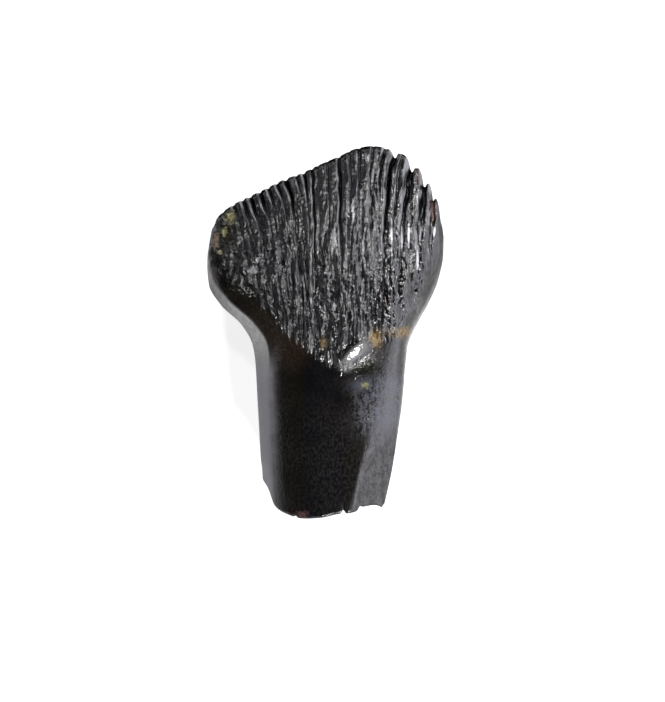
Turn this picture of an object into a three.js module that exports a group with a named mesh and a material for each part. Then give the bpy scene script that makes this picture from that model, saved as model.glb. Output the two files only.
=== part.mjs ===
// A fossil tooth of a small plant-eating dinosaur: a fan-shaped crown with upright ridges, on a stout
// root that is broken off. It grew as one piece, so it is one closed mesh: columns that fan out from the
// root to the crown's margin, and rows that run across, on the upper face and on the lower one.
// Millimetres, +Z up. The tooth lies on its lower face, along Y, with the crown towards +Y.
import * as THREE from "three";

// Rows across the tooth, from the broken end to the crown's margin: the height along Y of the row's two
// ends, the X and Z of its left and right ends, the Z of the upper and the lower face at its crest, and
// the share of the margin's arch that the row takes.
const STATIONS = [
  { y: -5.6, left: -2.09, right: 1.86, leftZ: 1.75, rightZ: 1.75, upper: 3.2, lower: 0.0, arch: 0 },
  { y: -4.5, left: -2.14, right: 2.1, leftZ: 1.8, rightZ: 1.8, upper: 3.34, lower: -0.09, arch: 0 },
  { y: -3.47, left: -2.18, right: 2.26, leftZ: 1.85, rightZ: 1.85, upper: 3.42, lower: -0.02, arch: 0 },
  { y: -2.18, left: -2.25, right: 2.44, leftZ: 1.88, rightZ: 1.9, upper: 3.5, lower: 0.14, arch: 0 },
  { y: -1.05, left: -2.31, right: 2.54, leftZ: 1.9, rightZ: 1.95, upper: 3.66, lower: 0.12, arch: 0 },
  { y: -0.4, left: -2.41, right: 2.62, leftZ: 1.9, rightZ: 2.0, upper: 3.84, lower: 0.0, arch: 0 },
  { y: 0.24, left: -2.75, right: 2.91, leftZ: 1.9, rightZ: 2.05, upper: 3.98, lower: -0.09, arch: 0.05 },
  { y: 0.89, left: -3.41, right: 3.29, leftZ: 1.9, rightZ: 2.15, upper: 3.96, lower: -0.08, arch: 0.18 },
  { y: 1.53, left: -3.78, right: 3.59, leftZ: 1.95, rightZ: 2.25, upper: 3.74, lower: 0.22, arch: 0.4 },
  { y: 2.28, left: -3.85, right: 3.76, leftZ: 2.1, rightZ: 2.4, upper: 3.3, lower: 1.1, arch: 0.75 },
  { y: 2.75, left: -3.81, right: 3.77, leftZ: 2.35, rightZ: 2.5, upper: 2.86, lower: 2.06, arch: 1 },
];
const ROOT_END = STATIONS[0].y;
const MARGIN_ENDS = STATIONS[STATIONS.length - 1].y;

// The crown's upper margin, from its left end over the apex to its right end, where it steps down in lobes.
const CROWN_MARGIN = [
  [-3.81, 2.7], [-3.76, 3.02], [-3.65, 3.43], [-3.46, 3.77], [-3.06, 4.08], [-2.7, 4.28], [-2.1, 4.56],
  [-1.33, 4.94], [-0.87, 5.1], [-0.23, 5.4], [0.42, 5.68], [0.9, 5.9], [1.45, 6.0], [1.85, 5.96],
  [2.05, 5.86], [2.17, 5.68], [2.3, 5.78], [2.48, 5.76], [2.64, 5.5], [2.72, 5.22], [2.8, 5.3],
  [2.93, 5.3], [3.03, 5.1], [3.11, 4.74], [3.18, 4.82], [3.28, 4.8], [3.36, 4.55], [3.43, 4.27],
  [3.48, 4.34], [3.55, 4.28], [3.64, 3.92], [3.71, 3.5], [3.77, 3.0],
];

// The broken edge of the root's upper face, from left to right.
const BROKEN_EDGE = [
  [-2.08, -5.05], [-1.9, -5.3], [-1.68, -5.74], [-1.3, -5.88], [-0.85, -5.98], [-0.2, -5.94],
  [0.38, -5.82], [0.66, -5.8], [0.95, -5.74], [1.13, -5.62], [1.76, -5.69], [1.84, -5.55],
];

// The grooves between the ridges: X on the crown's margin, depth, and length down from the margin.
const GROOVES = [
  [-3.62, 0.1, 0.7], [-3.33, 0.12, 0.8], [-3.0, 0.15, 1.0], [-2.7, 0.18, 1.3], [-2.46, 0.22, 1.5],
  [-2.15, 0.2, 1.5], [-1.88, 0.17, 1.5], [-1.6, 0.17, 1.3], [-1.31, 0.23, 1.9], [-0.98, 0.12, 0.9],
  [-0.74, 0.21, 1.7], [-0.3, 0.17, 4.6], [0.06, 0.07, 2.4], [0.4, 0.12, 2.4], [0.64, 0.17, 4.0],
  [1.0, 0.08, 2.6], [1.42, 0.06, 1.4], [1.84, 0.14, 2.0], [2.17, 0.2, 3.6], [2.46, 0.12, 2.2],
  [2.72, 0.2, 3.6], [3.11, 0.2, 3.0], [3.43, 0.16, 1.6],
];
const GROOVE_HALF_WIDTH = 0.15;
const GROOVE_FADE = [0.55, 1.35]; // where a groove gets shallow, as shares of its length
const GROOVE_END = 0.15; // what is left of its depth below that
const MARGIN_NOTCH = 0.3; // how far a groove notches the margin, as a share of its depth
const CROWN_GROOVES = { begin: [-0.2, 1.4], full: [0.8, 3.2], low: 0.35 }; // along Y on the upper face
const LOWER_GROOVES = { begin: [1.6, 3.4], share: 0.55 };

// How far a column stands to the right of a straight one low on the crown, because the ridges fan out
// towards the margin: share of the width, shift as a share of the width.
const FAN = [
  [0, 0], [0.14, 0.085], [0.23, 0.09], [0.32, 0.08], [0.39, 0.045], [0.47, 0], [0.8, -0.005], [1, 0],
];
const FAN_BEGINS = [-2.2, 0.6];
const FAN_ENDS = [1.2, MARGIN_ENDS];

// Low swellings and hollows of the upper face: the middle, the reach along X and Y, and the height.
const SWELLINGS = [
  { x: 0.66, y: -0.22, wide: 0.42, long: 0.34, high: 0.16 }, // the knob at the foot of the cingulum
  { x: 1.0, y: 0.15, wide: 0.5, long: 0.4, high: 0.1 }, // its shoulders on either side
  { x: 0.45, y: -0.7, wide: 0.3, long: 0.35, high: 0.07 },
  { x: 0.85, y: 2.7, wide: 0.65, long: 2.1, high: 0.1 }, // the crown's broad middle ridge
  { x: -1.0, y: -1.2, wide: 0.9, long: 0.8, high: -0.06 }, // the hollow beside the knob
  { x: -1.9, y: 2.0, wide: 0.8, long: 0.9, high: 0.07 },
  { x: -0.95, y: 2.7, wide: 0.45, long: 1.3, high: -0.06 },
  { x: 2.2, y: 1.2, wide: 0.6, long: 0.8, high: 0.06 },
];

// How square the flanks are, on the left at heights along Y, on the right of the root and of the crown, and
// on the lower face.
const CREST = 0.5; // where a row is highest, as a share of its width
const LEFT_FLANK = [[-1.8, 4.2], [-0.4, 8], [1.9, 8], [2.7, 2.7]];
const RIGHT_FLANK = { root: 4.5, crown: 2.4, turn: [-0.9, 0.9] };
const LOWER_FLANKS = { left: 2.4, right: 2.3 };

// The crown's swollen base, the cingulum, hangs over the root in a V.
const CINGULUM = { x: 0.6, wide: 1.0, hang: 0.75, lift: 0.4, y: -0.4, reach: 1.1 };

// The flat facet on the root's right shoulder: X of its edge at edgeY, how the edge slants, the slope.
const FACET = { edge: 0.72, edgeY: -5.57, slant: 0.24, slope: 0.95, rise: 0.03, ends: [-1.6, -0.2] };

// The steep wall along the left side: its width at heights along Y, then on the root and on the crown how
// far its edge lies below the crest and how steep it is. Over it the root has a chamfer.
const WALL_WIDTH = [
  [-5.6, 0.42], [-2.6, 0.43], [-1.2, 0.47], [-0.3, 0.5], [0.3, 0.42], [0.9, 0.3], [1.7, 0.16], [2.8, 0.05],
];
const WALL = { drop: [0.3, 0.13], slope: [1.8, 3.0], ends: [2.1, 2.7] };
const CHAMFER = { width: 0.8, drop: 0.06, slope: 0.6, ends: [-2.2, -0.5] };
const EDGE_SOFTNESS = { facet: 0.12, chamfer: 0.16, wall: 0.05 };

// The root's furrow on the lower face.
const FURROW = { x: -0.25, wide: 0.32, deep: 0.12, ends: [-2.4, -0.8] };

// The worn facet under the left part of the margin: a point of its edge and its slopes.
const WEAR = { x: -0.75, y: 5.1, z: 2.62, slopeX: 0.46, slopeY: 0.99, thinnest: 0.25 };

// The blade's margin is rounded over this much of Y, and notched from here on.
const MARGIN_ROUND = 0.09;
const NOTCHED = [2.1, MARGIN_ENDS];

// The broken end: how far it runs back for each millimetre down at the left and at the right, how far
// that reaches along the root, how deep the end is hollowed, and how ragged it is.
const BREAK = { slopeLeft: 0.4, slopeRight: 0.05, turn: [0.05, 0.6], reach: 2.2, hollow: 0.45, ragged: 0.05 };
const CHIPS = [[-1.0, 0.05, 0.05], [0.52, 0.13, 0.07], [1.05, 0.06, 0.06]]; // X, depth, half of the width
const CHIP_REACH = 30; // the power of nearness to the break that keeps the chips by its edge
const BREAK_WAVES = [{ x: 6.1, z: 2.2, start: 0 }, { x: -3.1, z: 4.7, start: 1 }];

// The net: columns close to either side as shares of the width, the columns' widths, and the rows.
const SIDE_STEPS = [0, 0.004, 0.014, 0.028];
const WALL_COLUMNS = [0.045, 0.085]; // extra ones by the left wall's edge
const NARROWEST_COLUMN = 0.055;
const WIDEST_COLUMN = 0.24;
const ROW_HEIGHTS = [
  -5.6, -5.35, -5.0, -4.4, -3.7, -2.9, -2.2, -1.7, -1.35, -1.05, -0.75, -0.45, -0.15, 0.15, 0.45, 0.75,
  1.05, 1.33, 1.58, 1.82, 2.04, 2.24, 2.42, 2.56, 2.66, 2.725, 2.75,
];
const BREAK_STEPS = 6;

const lerp = THREE.MathUtils.lerp;
const smooth = THREE.MathUtils.smoothstep;
const hump = (x, middle, width) => Math.exp(-(((x - middle) / width) ** 2));

// A curve through [x, y] points that never overshoots them.
function curve(points) {
  const steps = points.slice(1).map(([x, y], i) => (y - points[i][1]) / (x - points[i][0]));
  const slopes = points.map((_, i) => {
    const before = steps[i - 1] ?? steps[i];
    const after = steps[i] ?? before;
    return before * after <= 0 ? 0 : (2 * before * after) / (before + after);
  });
  return (x) => {
    let i = 0;
    while (i < points.length - 2 && x > points[i + 1][0]) i++;
    const [x0, y0] = points[i];
    const [x1, y1] = points[i + 1];
    const wide = x1 - x0;
    const u = THREE.MathUtils.clamp((x - x0) / wide, 0, 1);
    return (
      y0 * (1 + 2 * u) * (1 - u) ** 2 +
      slopes[i] * wide * u * (1 - u) ** 2 +
      y1 * u * u * (3 - 2 * u) +
      slopes[i + 1] * wide * u * u * (u - 1)
    );
  };
}

const station = Object.fromEntries(
  Object.keys(STATIONS[0]).map((name) => [name, curve(STATIONS.map((s) => [s.y, s[name]]))]),
);
const crownMargin = curve(CROWN_MARGIN);
const brokenEdge = curve(BROKEN_EDGE);
const fan = curve(FAN);
const leftFlank = curve(LEFT_FLANK);
const wallWidth = curve(WALL_WIDTH);
const MARGIN_LEFT = CROWN_MARGIN[0][0];
const MARGIN_WIDTH = CROWN_MARGIN[CROWN_MARGIN.length - 1][0] - MARGIN_LEFT;
const onMargin = (across) => MARGIN_LEFT + across * MARGIN_WIDTH;

// How deep the grooves are at a column, each kept to its own length below the margin.
function grooves(across, below) {
  const x = onMargin(across);
  return GROOVES.reduce((deep, [at, depth, long]) => {
    const off = Math.abs(x - at) / GROOVE_HALF_WIDTH;
    if (off >= 1) return deep;
    const fade = smooth(below, GROOVE_FADE[0] * long, GROOVE_FADE[1] * long);
    return deep + depth * (1 - off * off) ** 2 * lerp(1, GROOVE_END, fade);
  }, 0);
}

// The rounded flank of a row: 0 at its ends and 1 at its crest, squarer as the powers grow.
function flank(across, powers) {
  const left = across < CREST;
  const out = left ? (CREST - across) / CREST : (across - CREST) / (1 - CREST);
  const power = left ? powers.left : powers.right;
  return (1 - Math.min(out, 1) ** power) ** (1 / power);
}

// What stands above a plane is cut off, with a rounded edge.
function planeOff(z, plane, softness) {
  return Math.min((z + plane - Math.hypot(z - plane, softness)) / 2, z);
}

// The root's right shoulder is cut down to its facet, and the left side to its chamfer and its wall.
function cutFlanks(x, y, z, top) {
  const edge = FACET.edge + FACET.slant * (y - FACET.edgeY);
  const facet = planeOff(z, top + FACET.rise - FACET.slope * (x - edge), EDGE_SOFTNESS.facet);
  const shouldered = lerp(facet, z, smooth(y, ...FACET.ends));
  const inward = x - station.left(y);
  const onCrown = smooth(y, ...CHAMFER.ends);
  const chamfer = top - CHAMFER.drop - CHAMFER.slope * (CHAMFER.width - inward);
  const chamfered = lerp(planeOff(shouldered, chamfer, EDGE_SOFTNESS.chamfer), shouldered, onCrown);
  const wall = top - lerp(...WALL.drop, onCrown) - lerp(...WALL.slope, onCrown) * (wallWidth(y) - inward);
  return lerp(planeOff(chamfered, wall, EDGE_SOFTNESS.wall), chamfered, smooth(y, ...WALL.ends));
}

// The upper face at a column: a rounded row, its swollen base and facet, and the grooves of the crown.
function upperFace(across, x, y, rowY, deep) {
  const sideZ = lerp(station.leftZ(y), station.rightZ(y), across);
  const hangs = CINGULUM.hang * hump(x, CINGULUM.x, CINGULUM.wide) - CINGULUM.lift;
  const top = station.upper(y + hangs * hump(y, CINGULUM.y, CINGULUM.reach));
  const right = lerp(RIGHT_FLANK.root, RIGHT_FLANK.crown, smooth(y, ...RIGHT_FLANK.turn));
  const rise = flank(across, { left: leftFlank(y), right });
  const rounded = cutFlanks(x, y, lerp(sideZ, top, rise), top);
  const swollen = SWELLINGS.reduce(
    (z, form) => z + form.high * hump(x, form.x, form.wide) * hump(rowY, form.y, form.long),
    0,
  );
  const full = lerp(CROWN_GROOVES.low, 1, smooth(rowY, ...CROWN_GROOVES.full));
  const grooved = deep * rise ** 1.5 * full * smooth(rowY, ...CROWN_GROOVES.begin);
  return rounded + swollen * rise - grooved;
}

// The lower face at a column: rounder, with a furrow along the root and shallow grooves at the margin.
// It is worn flat under the left part of the margin, and where the tooth lies on it.
function lowerFace(across, x, y, rowY, deep, upper) {
  const sideZ = lerp(station.leftZ(y), station.rightZ(y), across);
  const rounded = lerp(sideZ, station.lower(y), flank(across, LOWER_FLANKS));
  const furrow = FURROW.deep * hump(x, FURROW.x, FURROW.wide) * (1 - smooth(rowY, ...FURROW.ends));
  const grooved = LOWER_GROOVES.share * deep * smooth(rowY, ...LOWER_GROOVES.begin);
  const inward = WEAR.slopeX * (onMargin(across) - WEAR.x) + WEAR.slopeY * (WEAR.y - rowY);
  const worn = Math.min(WEAR.z - Math.max(inward, 0), upper - WEAR.thinnest);
  return Math.max(rounded + furrow + grooved, worn, 0);
}

// A point of the surface. across runs from 0 at the left to 1 at the right, y is the height of the row's
// ends, and face is 1 for the upper face and 0 for the lower one; between them it is on the break.
function place(across, y, face) {
  const lean = fan(across) * smooth(y, ...FAN_BEGINS) * (1 - smooth(y, ...FAN_ENDS));
  const x = lerp(station.left(y), station.right(y), across + lean);
  const margin = crownMargin(onMargin(across));
  let rowY = y + station.arch(y) * (margin - MARGIN_ENDS);
  const deep = grooves(across, margin - rowY);
  rowY -= MARGIN_NOTCH * deep * smooth(y, ...NOTCHED);

  // The two faces meet in a rounded edge at the margin and join at the sides.
  const upper = upperFace(across, x, y, rowY, deep);
  const lower = lowerFace(across, x, y, rowY, deep, upper);
  const fromMargin = THREE.MathUtils.clamp((MARGIN_ENDS - y) / MARGIN_ROUND, 0, 1);
  const open = Math.sqrt(1 - (1 - fromMargin) ** 2);
  const z = lerp((upper + lower) / 2, lerp(lower, upper, face), open);

  // The broken end is ragged, slants back towards the lower face and is hollowed a little.
  const nearBreak = 1 - smooth(y, ROOT_END, ROOT_END + BREAK.reach);
  const down = Math.max(station.upper(y) - z, 0);
  const slope = lerp(BREAK.slopeLeft, BREAK.slopeRight, smooth(across, ...BREAK.turn));
  const waves = BREAK_WAVES.reduce((sum, wave) => sum + Math.sin(wave.x * x + wave.z * z + wave.start), 0);
  const ragged = BREAK.ragged * waves * Math.min(down, 1);
  const hollow = BREAK.hollow * Math.sin(Math.PI * face) * Math.sin(Math.PI * across);
  rowY += nearBreak ** 2 * (brokenEdge(x) - ROOT_END) + nearBreak * slope * down;
  const chips = CHIPS.reduce((sum, [at, deep, wide]) => sum + deep * hump(x, at, wide), 0);
  rowY += nearBreak ** 4 * (ragged + hollow) + nearBreak ** CHIP_REACH * chips;
  return [x, rowY, z];
}

// Columns stand on every groove, on every ridge between two and on the turns of the margin, and are close
// together at the sides.
function columns() {
  const [first, last] = [SIDE_STEPS.at(-1), 1 - SIDE_STEPS.at(-1)];
  const narrow = NARROWEST_COLUMN / MARGIN_WIDTH;
  const wide = WIDEST_COLUMN / MARGIN_WIDTH;
  const turns = [...GROOVES, ...CROWN_MARGIN].map(([x]) => (x - MARGIN_LEFT) / MARGIN_WIDTH);
  turns.push(...WALL_COLUMNS);
  const marks = [first];
  for (const turn of turns.sort((a, b) => a - b))
    if (turn > marks.at(-1) + narrow && turn < last - narrow) marks.push(turn);
  marks.push(last);
  const filled = marks.slice(1).flatMap((to, i) => {
    const from = marks[i];
    const parts = to - from > wide / 2 ? Math.max(2, Math.ceil((to - from) / wide)) : 1;
    return Array.from({ length: parts }, (_, k) => lerp(from, to, (k + 1) / parts));
  });
  const rightSide = SIDE_STEPS.slice(0, -1).reverse().map((step) => 1 - step);
  return [...SIDE_STEPS, ...filled, ...rightSide];
}

function toothGeometry() {
  const across = columns();
  const lastColumn = across.length - 1;
  const lastRow = ROW_HEIGHTS.length - 1;
  const positions = [];
  const triangles = [];
  const addPoint = (column, row, face) => {
    positions.push(...place(across[column], ROW_HEIGHTS[row], face));
    return positions.length / 3 - 1;
  };
  const addQuad = (a, b, c, d) => {
    if (a !== b && b !== c && a !== c) triangles.push(a, b, c);
    if (a !== c && c !== d && a !== d) triangles.push(a, c, d);
  };

  // The upper and the lower net share their points along both sides and along the margin.
  const upper = ROW_HEIGHTS.map((_, row) => across.map((_, column) => addPoint(column, row, 1)));
  const lower = upper.map((points, row) =>
    points.map((point, column) => {
      const shared = row === lastRow || column === 0 || column === lastColumn;
      return shared ? point : addPoint(column, row, 0);
    }),
  );
  const corners = (net, row, column) => [
    net[row][column],
    net[row][column + 1],
    net[row + 1][column + 1],
    net[row + 1][column],
  ];
  for (let row = 0; row < lastRow; row++)
    for (let column = 0; column < lastColumn; column++) {
      addQuad(...corners(upper, row, column));
      addQuad(...corners(lower, row, column).reverse());
    }

  // The break closes the root's end, from the upper edge down to the lower one.
  const end = across.map((_, column) =>
    Array.from({ length: BREAK_STEPS + 1 }, (_, step) => {
      if (step === 0 || column === 0 || column === lastColumn) return upper[0][column];
      return step === BREAK_STEPS ? lower[0][column] : addPoint(column, 0, 1 - step / BREAK_STEPS);
    }),
  );
  for (let column = 0; column < lastColumn; column++)
    for (let step = 0; step < BREAK_STEPS; step++)
      addQuad(end[column][step], end[column][step + 1], end[column + 1][step + 1], end[column + 1][step]);

  const geometry = new THREE.BufferGeometry();
  geometry.setAttribute("position", new THREE.Float32BufferAttribute(positions, 3));
  geometry.setIndex(triangles);
  geometry.computeVertexNormals();
  return geometry;
}

const enamel = new THREE.MeshStandardMaterial({ color: 0x2b2a2b, roughness: 0.38, metalness: 0 });
const tooth = new THREE.Mesh(toothGeometry(), enamel);
tooth.name = "tooth";

const fossil = new THREE.Group();
fossil.add(tooth);
export default fossil;
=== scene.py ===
"""A fossil tooth of a small plant-eating dinosaur, lying on a pale table and seen from straight above.

The tooth is one natural piece. Its surface is a net of columns, which fan out from the broken root to the
crown's margin, and of rows across them. Geometry Nodes then cut the grooves of the crown and make its
streaks, lumps and pits. Numbers of the shape are in millimetres and become metres where the mesh is made.
"""

import math
from types import SimpleNamespace

import bpy
import numpy as np
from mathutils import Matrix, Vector


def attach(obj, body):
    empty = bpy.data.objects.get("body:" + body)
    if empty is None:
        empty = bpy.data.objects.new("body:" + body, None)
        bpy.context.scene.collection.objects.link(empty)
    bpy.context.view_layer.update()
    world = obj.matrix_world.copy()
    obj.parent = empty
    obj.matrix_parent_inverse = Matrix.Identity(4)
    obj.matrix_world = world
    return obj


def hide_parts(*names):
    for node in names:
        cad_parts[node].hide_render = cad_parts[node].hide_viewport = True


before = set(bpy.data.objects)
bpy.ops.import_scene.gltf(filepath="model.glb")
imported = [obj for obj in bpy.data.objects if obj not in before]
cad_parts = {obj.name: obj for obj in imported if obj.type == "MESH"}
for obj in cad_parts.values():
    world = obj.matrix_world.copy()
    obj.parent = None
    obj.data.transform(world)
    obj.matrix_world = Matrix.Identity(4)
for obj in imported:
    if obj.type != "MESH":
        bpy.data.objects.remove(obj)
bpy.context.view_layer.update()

MM = 0.001

# The photograph's frame, the size of its pixels on the tooth, and its pixel over the tooth's origin.
PHOTO_WIDTH, PHOTO_HEIGHT = 665, 702
PIXEL = 12.0 / 371 * MM
ORIGIN_PIXEL = (327, 332.5)
CAMERA_HEIGHT, FOCUS_HEIGHT = 100 * MM, 2.2 * MM

# The net of the surface: columns and rows of the upper face, the step at which the lower face takes them, and
# the rows of the broken end.
UPPER_COLUMNS, ROOT_ROWS, CROWN_ROWS, LOWER_STEP, BREAK_STEPS = 340, 54, 132, 2, 20
# Shares of the width at which columns crowd together along each side, and where the evenly spread ones start.
SIDE_COLUMNS = [0, 1e-5, 6e-5, 2e-4, 5e-4, 1.1e-3, 2.1e-3, 3.6e-3, 5.8e-3, 8.6e-3, 1.2e-2, 1.6e-2]
SIDE_WIDTH = 0.02
# Y where the rows of the root meet those of the crown, and X of the crown's middle, where they are even.
ROW_JOIN, CROWN_MIDDLE = -0.9, 0.9

# Rows across the tooth: Y of the row's ends, X of its left and right ends, Z of its left and right ends, Z of
# the upper and of the lower face at its crest, and the share of the margin's arch that it takes.
STATIONS = np.array([
    (-5.6, -2.09, 1.86, 1.75, 1.75, 3.2, 0.0, 0),
    (-4.5, -2.14, 2.1, 1.8, 1.8, 3.34, -0.09, 0),
    (-3.47, -2.18, 2.26, 1.85, 1.85, 3.42, -0.02, 0),
    (-2.18, -2.25, 2.44, 1.88, 1.9, 3.5, 0.14, 0),
    (-1.05, -2.31, 2.54, 1.9, 1.95, 3.66, 0.12, 0),
    (-0.4, -2.41, 2.62, 1.9, 2.0, 3.84, 0.0, 0),
    (0.24, -2.75, 2.91, 1.9, 2.05, 3.98, -0.09, 0.05),
    (0.89, -3.41, 3.29, 1.9, 2.15, 3.96, -0.08, 0.18),
    (1.53, -3.78, 3.59, 1.95, 2.25, 3.74, 0.22, 0.4),
    (2.28, -3.85, 3.76, 2.1, 2.4, 3.3, 1.1, 0.75),
    (2.75, -3.81, 3.77, 2.35, 2.5, 2.86, 2.06, 1),
])
ROOT_END, MARGIN_ENDS = STATIONS[0, 0], STATIONS[-1, 0]

CROWN_MARGIN = [
    (-3.81, 2.7), (-3.76, 3.02), (-3.65, 3.43), (-3.46, 3.77), (-3.06, 4.08), (-2.7, 4.28), (-2.1, 4.56),
    (-1.33, 4.94), (-0.87, 5.1), (-0.23, 5.4), (0.42, 5.68), (0.9, 5.9), (1.45, 6.0), (1.85, 5.96),
    (2.07, 5.86), (2.2, 5.69), (2.3, 5.77), (2.44, 5.77), (2.56, 5.66), (2.65, 5.5), (2.705, 5.3),
    (2.75, 5.23), (2.83, 5.3), (2.93, 5.3), (3.03, 5.19), (3.085, 5.02), (3.1, 4.82), (3.15, 4.76),
    (3.23, 4.81), (3.33, 4.78), (3.38, 4.65), (3.395, 4.45), (3.41, 4.32), (3.46, 4.34), (3.54, 4.29),
    (3.6, 4.13), (3.64, 3.88), (3.66, 3.64), (3.72, 3.44), (3.77, 3.07),
]
# How far the crown's edge takes to round over at the margin, and its least thickness under the grooves.
MARGIN_EDGE, LEAST_THICKNESS = 0.09, 0.25
BROKEN_EDGE = [
    (-2.08, -5.05), (-1.9, -5.3), (-1.68, -5.74), (-1.3, -5.88), (-0.85, -5.98), (-0.2, -5.94),
    (0.38, -5.82), (0.66, -5.8), (0.95, -5.74), (1.13, -5.62), (1.76, -5.69), (1.84, -5.55),
]
# Notches of the broken edge: X, depth and half width.
BREAK_NOTCHES = [(0.52, 0.12, 0.06), (-1.0, 0.05, 0.05), (1.05, 0.06, 0.06)]
# The broken end: how far up the root it bends the rows, how far it slopes back at its left and at its right
# for each millimetre down, how ragged it is, and how deep its hollow is.
BREAK_REACH, BREAK_SLOPES, BREAK_RAGGED, BREAK_HOLLOW = 2.2, (0.4, 0.05), 0.05, 0.45

# Grooves between the ridges: X on the margin, depth, length down from the margin, half of the width.
GROOVES = [
    (-3.62, 0.07, 0.5, 0.04), (-3.33, 0.09, 0.5, 0.045), (-3.0, 0.12, 0.6, 0.05), (-2.7, 0.14, 0.8, 0.055),
    (-2.46, 0.18, 0.9, 0.065), (-2.15, 0.16, 0.85, 0.055), (-1.88, 0.14, 0.8, 0.05), (-1.6, 0.14, 0.7, 0.05),
    (-1.31, 0.2, 1.2, 0.065), (-0.98, 0.1, 0.6, 0.045), (-0.74, 0.17, 1.0, 0.055), (-0.47, 0.14, 4.2, 0.045),
    (-0.29, 0.07, 0.6, 0.04), (0.02, 0.06, 1.7, 0.045), (0.4, 0.14, 3.6, 0.05), (0.72, 0.06, 1.6, 0.045),
    (1.05, 0.08, 1.9, 0.045), (1.5, 0.06, 1.4, 0.045), (1.9, 0.13, 1.6, 0.06), (2.2, 0.23, 3.3, 0.08),
    (2.47, 0.08, 2.6, 0.045), (2.74, 0.23, 3.2, 0.075), (3.15, 0.25, 2.9, 0.075), (3.42, 0.28, 2.0, 0.065),
]
# Waves of a groove's course: size, turns down and across it, and start. They set in over WAVES_FROM.
GROOVE_WAVES, WAVES_FROM = [(0.02, 3.1, 2.7, 0), (0.012, 7.3, -4.1, 1)], 0.6
# How gentle a groove's left bank is, how square its section, and the share of its depth lost at its far end.
LEFT_BANK, GROOVE_SQUARENESS, GROOVE_FADE = 0.62, 1.6, 0.85
# How far to the left of a groove its lit bank reaches, and how far a groove notches the margin for its depth.
BANK_WIDTH, MARGIN_NOTCH = 0.06, 0.3
# Share of the upper grooves' depth that the lower face's have.
UNDER_GROOVES = 0.55
# How far ridges lean to the right for each millimetre down, by their X on the margin.
RIDGE_LEAN = [(-3.4, 0.36), (-2, 0.36), (-1.3, 0.32), (-0.74, 0.22), (-0.3, 0.04), (0.6, 0.03), (1.8, -0.13),
              (2.8, -0.12), (3.5, -0.04)]
# How far the ridges by the lobes bend to the left within the first two millimetres, by their X on the margin.
LOBE_BEND = [(1.1, 0), (1.7, 0.12), (2.1, 0.18), (2.5, 0.12), (2.9, 0.05), (3.3, 0)]
# How far columns move to the right where the crown fans out, by their share of the width.
FAN = [(0, 0), (0.14, 0.085), (0.23, 0.09), (0.32, 0.08), (0.39, 0.045), (0.47, 0), (0.8, -0.005), (1, 0)]

# Width of the steep wall along the left side at heights along Y.
LEFT_WALL = [(-5.6, 0.42), (-2.6, 0.43), (-1.2, 0.47), (-0.3, 0.5), (0.3, 0.42), (0.9, 0.28), (1.7, 0.12),
             (2.3, 0.02)]
# The wall on the root and on the crown: how far its top lies below the crest, its slope and its softness.
ROOT_WALL, CROWN_WALL = (0.3, 1.8, 0.16), (0.13, 3.0, 0.05)
# The chamfer above it: how far its top lies below the crest, its slope, width and softness.
CHAMFER_TOP, CHAMFER_SLOPE, CHAMFER_WIDTH, CHAMFER_SOFT = 0.06, 0.6, 0.8, 0.55
# The facet on the root's right shoulder: where its edge starts at the broken end, how far the edge moves to
# the right for each millimetre up the root, the facet's slope, and its softness there and where it ends.
FACET_START, FACET_LEAN, FACET_SLOPE, FACET_SOFT = (0.72, -5.57), 0.24, 0.95, (0.08, 0.75)

# The foot of the crown hangs lowest at X, over a half width: how much lower it is there, how much higher it
# is at the sides, and Y and half width of the band in which it hangs.
HANG_X, HANG_WIDTH, HANG_LOW, HANG_SIDES, HANG_Y, HANG_BAND = 0.6, 1.0, 0.75, 0.4, -0.4, 1.1
# Squareness of the upper face's left flank on the root, at the waist and on the crown, and of its right flank
# on the root and on the crown, and of both flanks of the lower face.
LEFT_SQUARENESS, RIGHT_SQUARENESS, UNDER_SQUARENESS = (4.2, 8, 16), (4.5, 2.4), (2.4, 2.3)
# The low rib along the root's underside: X, half width and height.
UNDER_RIB = (-0.25, 0.32, 0.12)
# The worn slope under the crown: a point on its inner edge, its fall along X and along Y, and Z of that edge.
WORN_START, WORN_FALL, WORN_TOP = (-0.75, 5.1), (0.46, 0.99), 2.62

# Low swellings and hollows of the upper face: X, Y, reach along X and along Y, height.
SWELLINGS = [
    (0.75, -0.3, 0.6, 0.5, 0.08), (0.85, 2.7, 0.65, 2.1, 0.1), (-1.0, -1.2, 0.9, 0.8, -0.06),
    (-1.9, 2.0, 0.8, 0.9, 0.07), (-0.95, 2.7, 0.45, 1.3, -0.06), (2.2, 1.2, 0.6, 0.8, 0.06),
]

# The knob at the foot of the crown is a short slanting ridge: its place, its reach along and across it, how
# far it falls at that reach, the slopes of its top along X and Y, its slant, and its joint with the crown.
KNOB_PLACE, KNOB_REACH, KNOB_FALL = (0.93, -0.62, 3.98), (0.64, 0.25), 0.09
KNOB_SLOPES, KNOB_SLANT, KNOB_JOINT = (-0.23, 0.44), math.radians(40), 0.25
# Reach of the polish on it, where a pale grey highlight is also painted.
POLISH_REACH = (0.55, 0.2)

# The outline of the crown's ridged and pitted area, X and Y. The enamel outside it is smooth.
RIDGED = [
    (-4.5, 2.5), (-3.65, 2.3), (-3.4, 2.0), (-2.98, 1.52), (-2.49, 1.02), (-2.1, 0.62), (-1.42, -0.05),
    (-0.87, -0.4), (-0.36, -0.9), (0.1, -1.15), (0.45, -1.38), (0.78, -1.2), (0.45, -0.85), (0.75, -0.48),
    (1.12, -0.12), (1.4, -0.1), (1.85, -0.35), (2.36, -0.05), (2.62, 0.24), (2.85, 0.75), (3.17, 1.55),
    (3.36, 2.65), (3.53, 3.5), (3.75, 4.2), (3.2, 5.8), (1.4, 6.6), (-3.0, 5.6), (-4.8, 3.9),
]

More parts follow.
